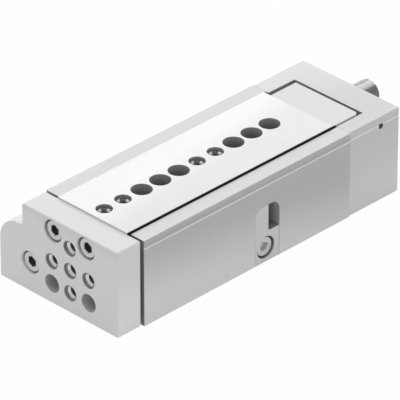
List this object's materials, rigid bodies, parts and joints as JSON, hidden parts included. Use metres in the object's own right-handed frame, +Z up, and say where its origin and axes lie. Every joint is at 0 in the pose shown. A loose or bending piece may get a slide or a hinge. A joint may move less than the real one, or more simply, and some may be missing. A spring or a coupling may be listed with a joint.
{
  "type": "pneumatic slide table",
  "caption": "Compact pneumatic slide table: a ball-guided steel table in a U-shaped housing, driven through a front yoke by a cylinder beside the guide.",
  "frame": {"origin": "on the mounting face, under the hole row of the table, 60 mm behind the housing's front face", "axes": "+X along the stroke, out of the housing; +Y to the closed side away from the cylinder; +Z up, out of the table face"},
  "size_m": [0.1711, 0.0651, 0.039],
  "materials": {
    "anodised_housing": "brushed along the length, clear anodised",
    "anodised_cap": "fine matt, clear anodised",
    "anodised_yoke": "fine matt, clear anodised",
    "ground_steel": "ground flat, bright",
    "plate_grey": "fine matt, clear anodised",
    "hardened_steel": "ground raceway",
    "screw_steel": "bright zinc plated",
    "chrome_rod": "hard chrome, polished",
    "ball_steel": "polished",
    "dark_steel": "dark nitrided, turned",
    "brass_cage": "milled",
    "bronze": "turned bearing bronze",
    "black_rubber": "matt",
    "seal_rubber": "satin",
    "guide_plastic": "matt",
    "magnet": "bonded magnet, matt"
  },
  "bodies": {
    "housing": {"housing": "anodised_housing", "end_cap": "anodised_cap", "cap_screws": "screw_steel", "cap_seal": "seal_rubber", "cap_dowels": "hardened_steel", "rail_left": "hardened_steel", "rail_right": "hardened_steel", "preload_screws": "dark_steel", "rod_bushing": "bronze", "rod_seal": "seal_rubber", "rod_retainer": "dark_steel", "stop_block": "anodised_cap", "stop_block_screw": "screw_steel", "rear_locknut": "screw_steel"},
    "carriage": {"table": "ground_steel", "end_plate": "plate_grey", "end_plate_screws": "screw_steel", "end_bumper": "black_rubber", "yoke": "anodised_yoke", "yoke_screws": "screw_steel", "rod_screw": "screw_steel", "piston_rod": "chrome_rod", "piston": "anodised_cap", "piston_seals": "seal_rubber", "piston_guide": "guide_plastic", "piston_magnet": "magnet"},
    "ball_cages": {"cage_left": "brass_cage", "cage_right": "brass_cage", "balls_left": "ball_steel", "balls_right": "ball_steel"},
    "rear_stop": {"rear_stop": "dark_steel", "rear_stop_tip": "black_rubber"}
  },
  "joints": [
    {"name": "table_slide", "type": "slide", "parent": "housing", "child": "carriage", "axis": [1, 0, 0], "range_m": [0, 0.04]},
    {"name": "cage_slide", "type": "slide", "parent": "housing", "child": "ball_cages", "axis": [1, 0, 0], "range_m": [0, 0.02]},
    {"name": "stop_adjust", "type": "slide", "parent": "housing", "child": "rear_stop", "axis": [-1, 0, 0], "range_m": [0, 0.005]}
  ],
  "couplings": [
    {"joint": "cage_slide", "follows": "table_slide", "ratio": 0.5}
  ]
}
